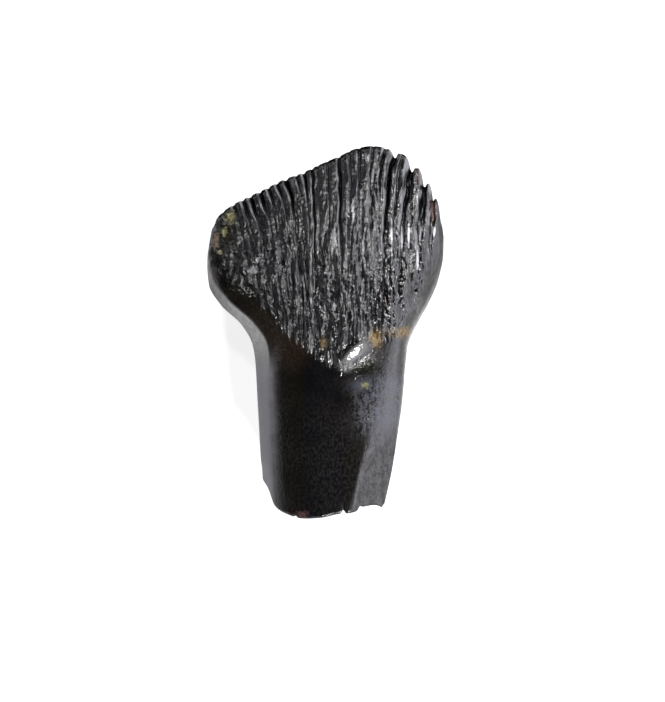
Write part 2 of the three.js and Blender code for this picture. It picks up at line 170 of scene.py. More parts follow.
# Heights and depths of the relief in millimetres, and the number that multiplies the depths of GROOVES.
RELIEF_SIZES = {
    "Groove depth": 1.3, "Rib height": 0.08, "Bead height": 0.12, "Pit depth": 0.1, "Left lumps": 0.14,
    "Grain height": 0.02, "Swell height": 0.1, "Root waves": 0.012, "Break roughness": 0.07,
}

# Width of the seams between the ribs, as a share of a rib, and how they round over.
SEAM_WIDTH, SEAM_ROUNDNESS = 0.22, 0.8
# Scales of the noises, for each metre: the areas' edges, clouds, speckles and ragged edges of the enamel, its
# pits, the grain of the knob, the lit banks, the broken end, patches, lumps and groups of pits.
EDGE_SCALE, CLOUD_SCALE, SPECKLE_SCALE, RAGGED_SCALE = 1600, 420, 13000, 9000
GRAIN_SCALE, KNOB_SCALE, BANK_SCALE, BREAK_SCALE = 6500, 3200, 1800, 2200
PATCH_SCALE, LUMP_SCALE, PIT_GROUP_SCALE = 620, 2600, 700
# How far apart the noises of the upper and the lower face are.
FACE_SHIFT = 7

# Edges of the enamel's areas: X of the facet's edge at Y 0, middle and half width of the navy band, X of the
# haze's left edge, where a pale reflection is painted below the knob, Y of its top and its bottom, and X of
# the right edge and Y of the top of the pale reflection painted on the left wall.
FACET_X, NAVY_BAND = 2.06, (-0.12, 0.6)
HAZE_X, HAZE_Y, WALL_REFLECTION_X, WALL_REFLECTION_Y = 0.25, (-1.4, -3.5), -1.86, -0.8
# The ridged enamel's pale grey, partly wear and partly painted light, starts at this sum of its causes, and
# is full this much above it.
WEAR_AND_LIGHT_FROM, WEAR_AND_LIGHT_OVER = 1.64, 0.42

# Stains of the enamel, and pale patches painted as the haze of the knob's highlight: X, Y, reach along X and
# along Y, colour, strength, softness of the edge, and how dull.
STAINS_AND_HAZE = [
    (-1.05, -0.6, 0.65, 0.55, (0.009, 0.0055, 0.0035), 0.9, 1.3, 0.95),
    (1.2, -1.2, 0.62, 0.4, (0.0035, 0.004, 0.0018), 0.95, 1.1, 1.0),
    # A pale grey patch painted as the haze of the knob's highlight, below and to the left of it.
    (0.62, -1.04, 0.26, 0.26, (0.13, 0.127, 0.125), 0.85, 1.0, 0.7),
    (1.0, -1.62, 0.5, 0.35, (0.003, 0.003, 0.0035), 0.8, 1.2, 0.8),
    # A pale grey patch painted as the haze of the knob's highlight, above and to the right of it.
    (1.18, -0.12, 0.2, 0.34, (0.11, 0.11, 0.11), 0.7, 1.2, 0.6),
    (-0.1, -0.35, 0.13, 0.24, (0.14, 0.1, 0.048), 0.7, 1.1, 0.7),
    (1.55, -0.2, 0.24, 0.33, (0.14, 0.094, 0.034), 0.8, 1.1, 0.7),
    (2.4, 0.0, 0.36, 0.2, (0.135, 0.092, 0.04), 0.65, 1.2, 0.7),
    (1.95, 0.05, 0.35, 0.2, (0.06, 0.045, 0.03), 0.5, 1.2, 0.5),
    (1.22, -1.68, 0.14, 0.13, (0.14, 0.135, 0.06), 0.8, 0.4, 0.7),
    (0.95, 4.4, 0.42, 1.2, (0.003, 0.0035, 0.006), 0.45, 1.2, 0.2),
    (-3.2, 3.2, 0.5, 0.75, (0.006, 0.006, 0.003), 0.9, 1.2, 0.9),
    (-3.52, 2.3, 0.28, 0.4, (0.002, 0.002, 0.002), 0.9, 0.7, 0.95),
    (-3.18, 1.75, 0.3, 0.5, (0.002, 0.002, 0.002), 0.9, 0.7, 0.95),
    (-3.1, 3.7, 0.19, 0.3, (0.14, 0.13, 0.062), 0.95, 0.3, 0.8),
    (-3.28, 3.22, 0.14, 0.17, (0.14, 0.13, 0.062), 0.95, 0.3, 0.8),
    (-3.56, 2.9, 0.13, 0.32, (0.14, 0.1, 0.07), 0.9, 0.3, 0.8),
    (-3.42, 2.55, 0.09, 0.08, (0.15, 0.135, 0.08), 0.9, 0.3, 0.8),
    (2.9, 5.05, 0.12, 0.3, (0.06, 0.034, 0.028), 0.6, 1.1, 0.5),
    (3.42, 3.95, 0.1, 0.4, (0.12, 0.062, 0.052), 0.8, 0.9, 0.6),
    (-0.8, -5.85, 0.25, 0.15, (0.05, 0.028, 0.026), 0.8, 0.8, 0.5),
]
# Pale marks painted as glints along the ridges: X, Y, reach along X and along Y, strength.
PAINTED_GLINTS = [
    (2.07, 3.05, 0.045, 0.65, 0.95), (2.4, 3.1, 0.045, 0.45, 0.8), (2.62, 3.1, 0.045, 0.45, 0.9),
    (2.98, 3.2, 0.045, 0.4, 0.9), (2.9, 2.35, 0.05, 0.45, 0.7), (3.44, 3.25, 0.05, 0.22, 0.95),
    (0.22, 2.95, 0.09, 0.4, 0.5), (0.23, 0.8, 0.06, 0.17, 0.6), (-0.52, -0.3, 0.06, 0.38, 0.5),
    (-0.49, 4.25, 0.06, 0.15, 0.5), (-2.36, 1.95, 0.13, 0.16, 0.4), (-2.2, 2.3, 0.05, 0.1, 0.5),
    (1.29, 5.6, 0.08, 0.16, 0.8), (1.16, 2.7, 0.06, 0.28, 0.4), (0.84, 3.83, 0.045, 0.4, 0.5),
    (-0.5, 1.8, 0.04, 1.3, 0.3),
]
# Stains, the painted haze and the painted glints lie on the upper face: they start to show at this Z and show
# fully at the next.
MARKED_FROM, MARKED_AT = 2.1, 2.6

# Colours of the enamel and of the broken end, as linear red, green and blue.
BLACK_ENAMEL, NAVY_ENAMEL = (0.0018, 0.0016, 0.001), (0.001, 0.0011, 0.0017)
BROWN_ENAMEL, FLECK_GREY = (0.006, 0.0038, 0.0022), (0.0085, 0.0078, 0.007)
# Pale greys of the ridged crown, partly its wear and partly painted light.
WORN_LIT_OLIVE, WORN_LIT_BLUE = (0.042, 0.039, 0.031), (0.035, 0.036, 0.043)
# Dark enamel, and black painted as shade in the hollows of the ridged crown.
DARK_ENAMEL, GROOVE_SHADE = (0.001, 0.001, 0.001), (0.001, 0.001, 0.0014)
BREAK_DARK, BREAK_PALE = (0.012, 0.01, 0.009), (0.07, 0.058, 0.048)
# White painted as glints on the ridges, and grey painted as the highlight on the knob.
GLINT_WHITE, KNOB_HIGHLIGHT_GREY = (0.33, 0.33, 0.34), (0.1, 0.1, 0.1)
# Colours of the dull film on the facet, and of the film painted as reflections on the haze below the knob and
# on the left wall, and as light on the lit banks.
FACET_FILM, HAZE_REFLECTION_PAINT = (0.016, 0.016, 0.017), (0.06, 0.062, 0.074)
WALL_REFLECTION_PAINT, LIT_BANK_PAINT = (0.19, 0.183, 0.2), (0.15, 0.148, 0.155)
ENAMEL_IOR, FILM_ROUGHNESS, BUMP_DEPTH = 1.5, 0.7, 0.03 * MM

# The table: half of its side in metres, and how much light it sends back and gives of its own.
TABLE_HALF, TABLE_GREY, TABLE_GLOW = 0.4, 0.32, 0.8
# The room's tint, how brightly its right wall shines, and how brightly it shines overhead.
ROOM_TINT, RIGHT_WALL, CEILING = (0.9, 0.9, 1.0, 1), 5.2, 0.04
# Lamps: tilt from straight up towards the right and towards the top in degrees, radius in metres, radiance.
LAMPS = [(25, 30, 0.011, 360), (-6, 25, 0.008, 260), (26, -48, 0.012, 560), (41, 17, 0.009, 460)]
LAMP_DISTANCE = 0.25


def smooth(x, low, high):
    """Rises smoothly from 0 at low to 1 at high."""
    u = np.clip((x - low) / (high - low), 0, 1)
    return u * u * (3 - 2 * u)


def hump(x, middle, width):
    return np.exp(-(((x - middle) / width) ** 2))


def lerp(a, b, t):
    return a + (b - a) * t


def curve(points):
    """A curve through (x, y) points that never overshoots them."""
    xs, ys = np.array(points, float).T
    steps = np.diff(ys) / np.diff(xs)
    before, after = np.append(steps[:1], steps), np.append(steps, steps[-1:])
    product, total = before * after, before + after
    slopes = np.where(product > 0, 2 * product / np.where(total == 0, 1, total), 0)

    def at(x):
        i = np.clip(np.searchsorted(xs, x) - 1, 0, len(xs) - 2)
        wide = xs[i + 1] - xs[i]
        u = np.clip((x - xs[i]) / wide, 0, 1)
        ends = ys[i] * (1 + 2 * u) * (1 - u) ** 2 + ys[i + 1] * u * u * (3 - 2 * u)
        return ends + wide * u * (1 - u) * (slopes[i] * (1 - u) - slopes[i + 1] * u)

    return at


left_x, right_x, left_z, right_z, upper_crest, lower_crest, arch = (
    curve(STATIONS[:, (0, column)]) for column in range(1, 8)
)
crown_margin, broken_edge, fan, wall_width, ridge_lean, lobe_bend = (
    curve(points) for points in (CROWN_MARGIN, BROKEN_EDGE, FAN, LEFT_WALL, RIDGE_LEAN, LOBE_BEND)
)
MARGIN_LEFT, MARGIN_RIGHT = CROWN_MARGIN[0][0], CROWN_MARGIN[-1][0]


def groove_depth(x, below):
    """Grooves waver a little and taper to a line away from the margin. Their left banks are the gentler."""
    waver = sum(size * np.sin(down * below + over * x + start) for size, down, over, start in GROOVE_WAVES)
    x = x + waver * np.clip(below / WAVES_FROM, 0, 1)
    deep = np.zeros(np.broadcast(x, below).shape)
    for at, depth, long, half in GROOVES:
        far = smooth(below, 0.4 * long, 1.3 * long)
        off = (x - at) / (half * (1.2 - 0.7 * smooth(below, 0.1 * long, 1.2 * long)))
        off = np.clip(np.where(off < 0, -LEFT_BANK * off, off), 0, 1)
        deep = np.maximum(deep, depth * (1 - off * off) ** GROOVE_SQUARENESS * (1 - GROOVE_FADE * far))
    return deep


def flank(across, left, right):
    """The rounded side of a row: 0 at its ends and 1 at its crest, squarer as the powers grow."""
    out = np.clip(np.abs(across - 0.5) * 2, 0, 1)
    power = np.where(across < 0.5, left, right)
    return (1 - out**power) ** (1 / power)


def plane_off(z, plane, soft):
    """Cuts off what stands above a plane, with a rounded edge."""
    plane, reach = plane + 0.35 * soft, 1.6 * soft
    kept = np.clip(0.5 + 0.5 * (plane - z) / reach, 0, 1)
    return lerp(plane, z, kept) - reach * kept * (1 - kept)


def raise_to(z, form, soft):
    """Raises the surface to a form, with a rounded joint between them."""
    return np.maximum((z + form + np.hypot(z - form, soft)) / 2 - soft / 2, z)


def cut_flanks(x, y, z, top):
    """The facet on the root's right shoulder, and the steep left wall with a chamfer above it on the root."""
    facet_soft = lerp(*FACET_SOFT, smooth(y, -4.2, -1.8))
    facet_edge = FACET_START[0] + FACET_LEAN * (y - FACET_START[1])
    facet = plane_off(z, top + 0.03 - FACET_SLOPE * (x - facet_edge), facet_soft)
    z = lerp(facet, z, smooth(y, -1.6, -0.2))
    inward = x - left_x(y)
    on_crown = smooth(y, -2.2, -0.5)
    chamfer = plane_off(z, top - CHAMFER_TOP - CHAMFER_SLOPE * (CHAMFER_WIDTH - inward), CHAMFER_SOFT)
    z = lerp(chamfer, z, on_crown)
    drop, slope, soft = (lerp(root, crown, on_crown) for root, crown in zip(ROOT_WALL, CROWN_WALL))
    wall = plane_off(z, top - drop - slope * (wall_width(y) - inward), soft)
    return lerp(wall, z, smooth(y, 1.9, 2.3))


def along_knob(x, y, reach):
    """Places along and across the knob's ridge, as shares of a reach, from X and Y off its middle."""
    along = (x * math.cos(KNOB_SLANT) + y * math.sin(KNOB_SLANT)) / reach[0]
    over = (y * math.cos(KNOB_SLANT) - x * math.sin(KNOB_SLANT)) / reach[1]
    return along, over


def knob(x, y):
    """Z of the knob's form, which falls away steeply outside its reach."""
    x, y = x - KNOB_PLACE[0], y - KNOB_PLACE[1]
    along, over = along_knob(x, y, KNOB_REACH)
    return KNOB_PLACE[2] + KNOB_SLOPES[0] * x + KNOB_SLOPES[1] * y - KNOB_FALL * (along**4 + over**4)


def net_place(across, y):
    """X and Y of the net's points, and how far they lie below the crown's margin."""
    lean = fan(across) * smooth(y, -2.2, 0.6) * (1 - smooth(y, 1.2, MARGIN_ENDS))
    x = lerp(left_x(y), right_x(y), across + lean)
    margin = crown_margin(lerp(MARGIN_LEFT, MARGIN_RIGHT, across))
    row_y = y + arch(y) * (margin - MARGIN_ENDS)
    below = np.maximum(crown_margin(np.clip(x, MARGIN_LEFT, MARGIN_RIGHT)) - row_y, 0)
    return x, row_y, below


def upper_face(across, x, y, row_y, side_z):
    """Z of the upper face without its grooves, and the share of its height that its flanks have risen."""
    hangs = HANG_LOW * hump(x, HANG_X, HANG_WIDTH) - HANG_SIDES
    top = upper_crest(y + hangs * hump(y, HANG_Y, HANG_BAND))
    on_root, at_waist, on_crown = LEFT_SQUARENESS
    left = lerp(lerp(on_root, at_waist, smooth(y, -1.8, -0.4)), on_crown, smooth(y, 0.3, 1.5))
    rise = flank(across, left, lerp(*RIGHT_SQUARENESS, smooth(y, -0.9, 0.9)))
    z = cut_flanks(x, y, lerp(side_z, top, rise), top)
    for at_x, at_y, wide, long, high in SWELLINGS:
        z = z + high * hump(x, at_x, wide) * hump(row_y, at_y, long) * rise
    return raise_to(z, knob(x, row_y), KNOB_JOINT), rise


def lower_face(across, x, y, row_y, side_z, deep, highest):
    """Z of the lower face and depth of its grooves. A worn slope thins the crown towards its margin."""
    z = lerp(side_z, lower_crest(y), flank(across, *UNDER_SQUARENESS))
    rib_x, rib_width, rib_height = UNDER_RIB
    z = z + rib_height * hump(x, rib_x, rib_width) * (1 - smooth(row_y, -2.4, -0.8))
    groove = UNDER_GROOVES * deep * smooth(row_y, 1.6, 3.4)
    margin_x = lerp(MARGIN_LEFT, MARGIN_RIGHT, across)
    fall = WORN_FALL[0] * (margin_x - WORN_START[0]) + WORN_FALL[1] * (WORN_START[1] - row_y)
    worn = np.minimum(WORN_TOP - np.maximum(fall, 0), highest)
    groove = np.where(z + groove < worn, 0, groove)
    return np.maximum(np.maximum(z, worn), 0), groove


def break_off(across, x, y, z, row_y, face):
    """Y of the points once the root is broken off along a ragged edge, with a hollow in the broken end."""
    near_break = 1 - smooth(y, ROOT_END, ROOT_END + BREAK_REACH)
    down = np.maximum(upper_crest(y) - z, 0)
    slope = lerp(*BREAK_SLOPES, smooth(across, 0.05, 0.6))
    notch = sum(deep * hump(x, at, wide) for at, deep, wide in BREAK_NOTCHES)
    ragged = np.sin(6.1 * x + 2.2 * z) + np.sin(4.7 * z - 3.1 * x + 1)
    ragged = BREAK_RAGGED * ragged * np.minimum(down, 1)
    hollow = BREAK_HOLLOW * np.sin(math.pi * face) * np.sin(math.pi * across)
    row_y = row_y + near_break**2 * (broken_edge(x) - ROOT_END) + near_break * slope * down
    return row_y + near_break**4 * (ragged + hollow) + near_break**50 * notch


def tooth_points(across, y, face):
    """Places of the net's points without their grooves, and the values that each point carries.

    Face is 1 on the upper face, 0 on the lower face, and falls from 1 to 0 down the broken end. Furrow is the
    depth of the grooves, crosswise and lengthwise say where a point lies on its ridge, bank marks the left
    banks of the grooves, and loose says how freely the relief may move a point.
    """
    x, row_y, below = net_place(across, y)
    strip = x - ridge_lean(x) * (0.4 * below + 0.48 * (1 - np.exp(-below / 0.8)))
    strip = strip + lobe_bend(x) * (1 - np.exp(-below / 0.9))
    deep = groove_depth(strip, below)
    bank = np.maximum(groove_depth(strip + BANK_WIDTH, below) - deep, 0)
    row_y = row_y - MARGIN_NOTCH * deep * smooth(y, 2.1, MARGIN_ENDS)

    side_z = lerp(left_z(y), right_z(y), across)
    upper, rise = upper_face(across, x, y, row_y, side_z)
    groove = deep * smooth(row_y, -0.2, 1.4) * rise**1.5 * lerp(0.35, 1, smooth(row_y, 0.8, 3.2))
    highest = upper - groove - LEAST_THICKNESS
    lower, under_groove = lower_face(across, x, y, row_y, side_z, deep, highest)

    from_margin = np.clip((MARGIN_ENDS - y) / MARGIN_EDGE, 0, 1)
    opened = np.sqrt(1 - (1 - from_margin) ** 2)
    z = lerp((upper + lower) / 2, lerp(lower, upper, face), opened)
    furrow = lerp(-under_groove, groove, face) * opened
    off_seams = smooth(np.minimum(across, 1 - across), 0, 0.012) * smooth(MARGIN_ENDS - y, 0, 0.04)
    off_table = np.where(face == 0, smooth(z, 0.0, 0.15), 1.0)
    return np.stack([x, break_off(across, x, y, z, row_y, face), z], -1), {
        "furrow": furrow * MM,
        "crosswise": strip,
        "lengthwise": below,
        "bank": bank * face,
        "loose": off_seams * off_table,
    }


def inside_outline(x, y, outline):
    """How far points lie inside a closed outline, in millimetres, and below 0 outside it."""
    corners = np.array(outline)
    nearest, inside = np.full(x.shape, 1e9), np.zeros(x.shape, bool)
    for (ax, ay), (bx, by) in zip(corners, np.roll(corners, -1, 0)):
        run = np.clip(((x - ax) * (bx - ax) + (y - ay) * (by - ay)) / ((bx - ax) ** 2 + (by - ay) ** 2), 0, 1)
        nearest = np.minimum(nearest, np.hypot(x - ax - run * (bx - ax), y - ay - run * (by - ay)))
        crosses = (ay > y) != (by > y)
        inside ^= crosses & (x < (bx - ax) * (y - ay) / (by - ay if by != ay else 1e-9) + ax)
    return np.where(inside, nearest, -nearest)


def column_shares(count):
    """Columns are evenly spread, and crowd together where the sides turn steeply down."""
    side = np.array(SIDE_COLUMNS)
    return np.concatenate([side, np.linspace(SIDE_WIDTH, 1 - SIDE_WIDTH, count), 1 - side[::-1]])


def row_heights(root_rows, crown_rows):
    """Rows are evenly spaced on the root and, along the crown's middle, on the crown."""
    fine = np.linspace(ROW_JOIN, MARGIN_ENDS, 2000)
    reach = fine + arch(fine) * (crown_margin(CROWN_MIDDLE) - MARGIN_ENDS)
    crown = np.interp(np.linspace(reach[0], reach[-1], crown_rows), reach, fine)
    rim = MARGIN_ENDS - MARGIN_EDGE * np.array([0.75, 0.5, 0.3, 0.15, 0.05, 0.01])
    root = np.linspace(ROOT_END, ROW_JOIN, root_rows, endpoint=False)
    return np.unique(np.concatenate([root, crown, rim]))


def cells(net, row_stops, column_stops):
    """One face for each cell between the stops. A side that finer faces share keeps all its points."""
    for i0, i1 in zip(row_stops, row_stops[1:]):
        for j0, j1 in zip(column_stops, column_stops[1:]):
            walk = [*net[i0, j0:j1], *net[i0:i1, j1], *net[i1, j1:j0:-1], *net[i1:i0:-1, j0]]
            kept = list(dict.fromkeys(int(point) for point in walk if point >= 0))
            if len(kept) > 2:
                yield kept


class Net:
    """Collects the points of the surface, and numbers them."""

    def __init__(self):
        self.places, self.marks, self.count = [], [], 0

    def add(self, across, y, face):
        """Adds a block of points and gives their numbers, in the block's own shape."""
        place, mark = tooth_points(across, y, face)
        mark["face"] = face
        shape = place.shape[:-1]
        self.places.append(place.reshape(-1, 3))
        self.marks.append({name: np.broadcast_to(value, shape).ravel() for name, value in mark.items()})
        made = np.arange(self.count, self.count + math.prod(shape)).reshape(shape)
        self.count += made.size
        return made


def tooth_net():
    """The points of the upper face, the lower face and the broken end, and the faces between them."""
    across = column_shares(UPPER_COLUMNS)
    rows = row_heights(ROOT_ROWS, CROWN_ROWS)
    wide, high = len(across), len(rows)
    side = len(SIDE_COLUMNS)
    evenly = range(side, wide - side, LOWER_STEP)
    low_columns = sorted({*range(side), *evenly, *range(wide - side - 1, wide)})
    low_rows = sorted({*range(0, high - 1, LOWER_STEP), high - 1})

    net = Net()
    a, y = np.meshgrid(across, rows)
    upper = net.add(a, y, np.ones(a.shape))
    lower = np.full(upper.shape, -1)
    for edge in (np.s_[-1, :], np.s_[:, 0], np.s_[:, -1]):
        lower[edge] = upper[edge]
    inner = np.ix_(low_rows[:-1], low_columns[1:-1])
    lower[inner] = net.add(a[inner], y[inner], np.zeros(a[inner].shape))
    steps = np.linspace(1, 0, BREAK_STEPS + 2)[1:-1]
    broken = np.full((BREAK_STEPS + 2, wide), -1)
    a_end, face_end = np.meshgrid(across[1:-1], steps)
    broken[1:-1, 1:-1] = net.add(a_end, np.full(a_end.shape, ROOT_END), face_end)
    broken[0], broken[-1] = upper[0], lower[0]
    broken[:, 0], broken[:, -1] = upper[0, 0], upper[0, -1]

    faces = list(cells(upper, range(high), range(wide)))
    faces += [corners[::-1] for corners in cells(lower, low_rows, low_columns)]
    faces += [corners[::-1] for corners in cells(broken[:-1], range(BREAK_STEPS + 1), range(wide))]
    faces += [corners[::-1] for corners in cells(broken[-2:], [0, 1], low_columns)]
    return net, faces


def tooth_mesh():
    """The net as a mesh, with what each point carries as attributes."""
    net, faces = tooth_net()
    points = np.concatenate(net.places)
    mesh = bpy.data.meshes.new("tooth surface")
    mesh.from_pydata(points * MM, [], faces)
    values = {name: np.concatenate([mark[name] for mark in net.marks]) for name in net.marks[0]}
    values["ridged"] = inside_outline(points[:, 0], points[:, 1], RIDGED)
    for name, value in values.items():
        mesh.attributes.new(name, "FLOAT", "POINT").data.foreach_set("value", value)
    mesh.polygons.foreach_set("use_smooth", [True] * len(mesh.polygons))
    mesh.update()
    return mesh


class Wire:
    """A socket that can be used in sums: each operation adds its node to the tree."""

    def __init__(self, tree, socket):
        self.tree, self.socket = tree, socket

    def _math(self, operation, *values):
        return self.tree.node("ShaderNodeMath", {"operation": operation}, dict(enumerate(values)))

    def __add__(self, other):
        return self._math("ADD", self, other)

    def __sub__(self, other):
        return self._math("SUBTRACT", self, other)

    def __rsub__(self, other):
        return self._math("SUBTRACT", other, self)

    def __mul__(self, other):
        return self._math("MULTIPLY", self, other)

    def __truediv__(self, other):
        return self._math("DIVIDE", self, other)

    def __pow__(self, other):
        return self._math("POWER", self, other)

    __radd__ = __add__
    __rmul__ = __mul__

    def least(self, other):
        return self._math("MINIMUM", self, other)

    def most(self, other):
        return self._math("MAXIMUM", self, other)

    def step(self, low, high):
        """Rises smoothly from 0 at low to 1 at high."""
        settings = {"interpolation_type": "SMOOTHSTEP"}
        values = {"Value": self, "From Min": low, "From Max": high}
        return self.tree.node("ShaderNodeMapRange", settings, values)

    def spread(self, low, high):
        """Takes 0 to low and 1 to high."""
        return self * (high - low) + low


class Tree:
    """Makes the nodes of a material, of the world or of a Geometry Nodes group."""

    def __init__(self, host):
        self.host = host

    def feed(self, node, values):
        """Gives a node's sockets, by name or number, their values or links."""
        for name, value in values.items():
            socket = node.inputs[name]
            if isinstance(value, Wire):
                self.host.links.new(value.socket, socket)
            else:
                socket.default_value = value

    def node(self, kind, settings=None, values=None, out=0):
        """Makes a node, with its settings first and then its sockets, and gives one of its outputs."""
        made = self.host.nodes.new(kind)
        for name, value in (settings or {}).items():
            setattr(made, name, value)
        self.feed(made, values or {})
        return Wire(self, made.outputs[out])

    def parts(self, vector):
        """The X, Y and Z of a vector."""
        split = self.node("ShaderNodeSeparateXYZ", {}, {0: vector}).socket.node
        return [Wire(self, output) for output in split.outputs]

    def join(self, x, y, z=0.0):
        return self.node("ShaderNodeCombineXYZ", {}, {0: x, 1: y, 2: z})

    def mix(self, share, first, second):
        """Colours: first where share is 0, second where it is 1."""
        colours = [(*colour, 1) if isinstance(colour, tuple) else colour for colour in (first, second)]
        values = {0: share, 6: colours[0], 7: colours[1]}
        return self.node("ShaderNodeMix", {"data_type": "RGBA"}, values, out=2)

    def blend(self, share, first, second):
        """Numbers: first where share is 0, second where it is 1."""
        return first + (second - first) * share

    def noise(self, place, scale, detail=2, rough=0.5):
        """Noise from 0 to 1, at a scale for each metre, or for each unit of a place of its own."""
        values = {"Vector": place, "Scale": scale, "Detail": detail, "Roughness": rough}
        return self.node("ShaderNodeTexNoise", {}, values)

    def wave(self, place, scale, detail=2, rough=0.5):
        """The same noise as rises and falls between about -1 and 1."""
        return (self.noise(place, scale, detail, rough) - 0.5) * 2

    def cells(self, place, feature):
        """Distance from the edges or from the middles of irregular cells, as the feature says."""
        return self.node("ShaderNodeTexVoronoi", {"feature": feature}, {"Vector": place, "Scale": 1.0})

    def attribute(self, name):
        return self.node("ShaderNodeAttribute", {"attribute_name": name}, {}, out="Fac")

    def stored(self, name):
        """An attribute's value in a Geometry Nodes group."""
        return self.node("GeometryNodeInputNamedAttribute", {"data_type": "FLOAT"}, {"Name": name})


def wavy_edge(tree, place):
    """What makes the edges of the ridged area, the facet and the haze irregular."""
    return tree.noise(place, EDGE_SCALE, 3, 0.6) - 0.5


def ridged_share(inside, edge):
    """1 on the ridged crown and 0 on the smooth enamel, from the distance inside the outline."""
    return (inside + edge * 0.5).step(-0.12, 0.3)


def crown_relief(tree, at, given):
    """Height of the crown's relief: ribs, beads, swells, pits and grains, and lumps at the left corner."""
    wander = tree.noise(tree.join(at.crosswise * 1.3, at.lengthwise * 0.45, at.side), 1.0, 2, 0.5)
    rib_place = tree.join(at.crosswise * 3.4 + wander * 1.2, at.lengthwise * 0.4, at.side)
    seams = tree.cells(rib_place, "DISTANCE_TO_EDGE").least(SEAM_WIDTH) / SEAM_WIDTH
    ribs = seams ** SEAM_ROUNDNESS - 1
    patchy = tree.noise(at.place, PATCH_SCALE, 2, 0.5).step(0.4, 0.62)
    beads = tree.wave(tree.join(at.crosswise * 4.4 + wander * 1.6, at.lengthwise * 1.7, at.side), 1.0, 3, 0.6)
    swells = tree.wave(tree.join(at.crosswise * 2.4 + wander, at.lengthwise * 0.8, at.side + 3), 1.0, 1, 0.5)
    grains = tree.wave(at.place, GRAIN_SCALE, 2, 0.65)
    at_left = 1 - at.crosswise.step(-3.2, -2.7)
    lumps = tree.wave(at.place, LUMP_SCALE, 2, 0.55) * at_left
    cell = tree.cells(tree.join(at.crosswise * 5.2 + wander, at.lengthwise * 2.2, at.side), "F1")
    pits = (1 - cell.step(0.0, 0.4)) * (tree.noise(at.place, PIT_GROUP_SCALE, 1) - 0.45).step(0.0, 0.12)
    lower_down = at.lengthwise.step(1.0, 2.8)
    calm = 1 - at.crosswise.step(0.2, 1.2) * (1 - at.lengthwise.step(2.0, 3.6)) * 0.5
    relief = ribs * given["Rib height"] * lower_down.spread(0.4, 1.0) * patchy.spread(0.2, 1.0) * calm
    relief = relief + beads * given["Bead height"] * lower_down.spread(0.55, 1.0) * calm
    relief = relief + swells * given["Swell height"]
    relief = relief + grains * given["Grain height"] + lumps * given["Left lumps"]
    relief = relief - pits * given["Pit depth"] * lower_down.spread(0.3, 1.0)
    in_groove = (tree.stored("furrow") * 1000).step(0.01, 0.08)
    on_upper = at.face.step(0.5, 1.0)
    return relief * at.ridged * on_upper.spread(0.6, 1.0) * (1 - in_groove * 0.75)


def root_relief(tree, at, given):
    """Height of the long low waves along the root, and of the chips on the broken end."""
    root_along = tree.join(at.crosswise * 1.9, at.lengthwise * 0.12, at.side)
    waves = (tree.noise(root_along, 1.0, 1) - 0.5) * given["Root waves"] * (1 - at.ridged)
    on_break = at.face.step(0.0, 0.05) * (1 - at.face.step(0.95, 1.0))
    chips = (tree.noise(at.place, LUMP_SCALE, 3, 0.6) - 0.5) * on_break * given["Break roughness"]
    return waves + chips


def relief_group():
    """Cuts the grooves, raises the relief, and stores the crown's heights in millimetres as an attribute."""
    group = bpy.data.node_groups.new("crown relief", "GeometryNodeTree")
    faces = group.interface
    faces.new_socket("Geometry", in_out="INPUT", socket_type="NodeSocketGeometry")
    for name, value in RELIEF_SIZES.items():
        faces.new_socket(name, in_out="INPUT", socket_type="NodeSocketFloat").default_value = value
    faces.new_socket("Enamel", in_out="INPUT", socket_type="NodeSocketMaterial")
    faces.new_socket("Geometry", in_out="OUTPUT", socket_type="NodeSocketGeometry")
    tree = Tree(group)
    entry = group.nodes.new("NodeGroupInput")
    given = {name: Wire(tree, entry.outputs[name]) for name in ["Geometry", *RELIEF_SIZES, "Enamel"]}

    at = SimpleNamespace(place=tree.node("GeometryNodeInputPosition"))
    at.crosswise, at.lengthwise, at.face = map(tree.stored, ("crosswise", "lengthwise", "face"))
    at.side = at.face * FACE_SHIFT
    at.ridged = ridged_share(tree.stored("ridged"), wavy_edge(tree, at.place))
    crown = crown_relief(tree, at, given)
    height = (crown + root_relief(tree, at, given)) * MM * tree.stored("loose")
    normal = tree.node("GeometryNodeInputNormal")
    push = tree.node("ShaderNodeVectorMath", {"operation": "SCALE"}, {0: normal, "Scale": height})
    cut = tree.join(0.0, 0.0, tree.stored("furrow") * given["Groove depth"] * -1)
    offset = tree.node("ShaderNodeVectorMath", {"operation": "ADD"}, {0: push, 1: cut})
    moved = tree.node("GeometryNodeSetPosition", {}, {"Geometry": given["Geometry"], "Offset": offset})
    sunk = tree.stored("furrow") * -1000 * given["Groove depth"] + crown
    settings = {"data_type": "FLOAT", "domain": "POINT"}
    values = {"Geometry": moved, "Name": "height", "Value": sunk}
    marked = tree.node("GeometryNodeStoreNamedAttribute", settings, values)
    real = tree.node("GeometryNodeRealizeInstances", {}, {"Geometry": marked})
    dressed = tree.node("GeometryNodeSetMaterial", {}, {"Geometry": real, "Material": given["Enamel"]})
    tree.feed(group.nodes.new("NodeGroupOutput"), {0: dressed})
    return group


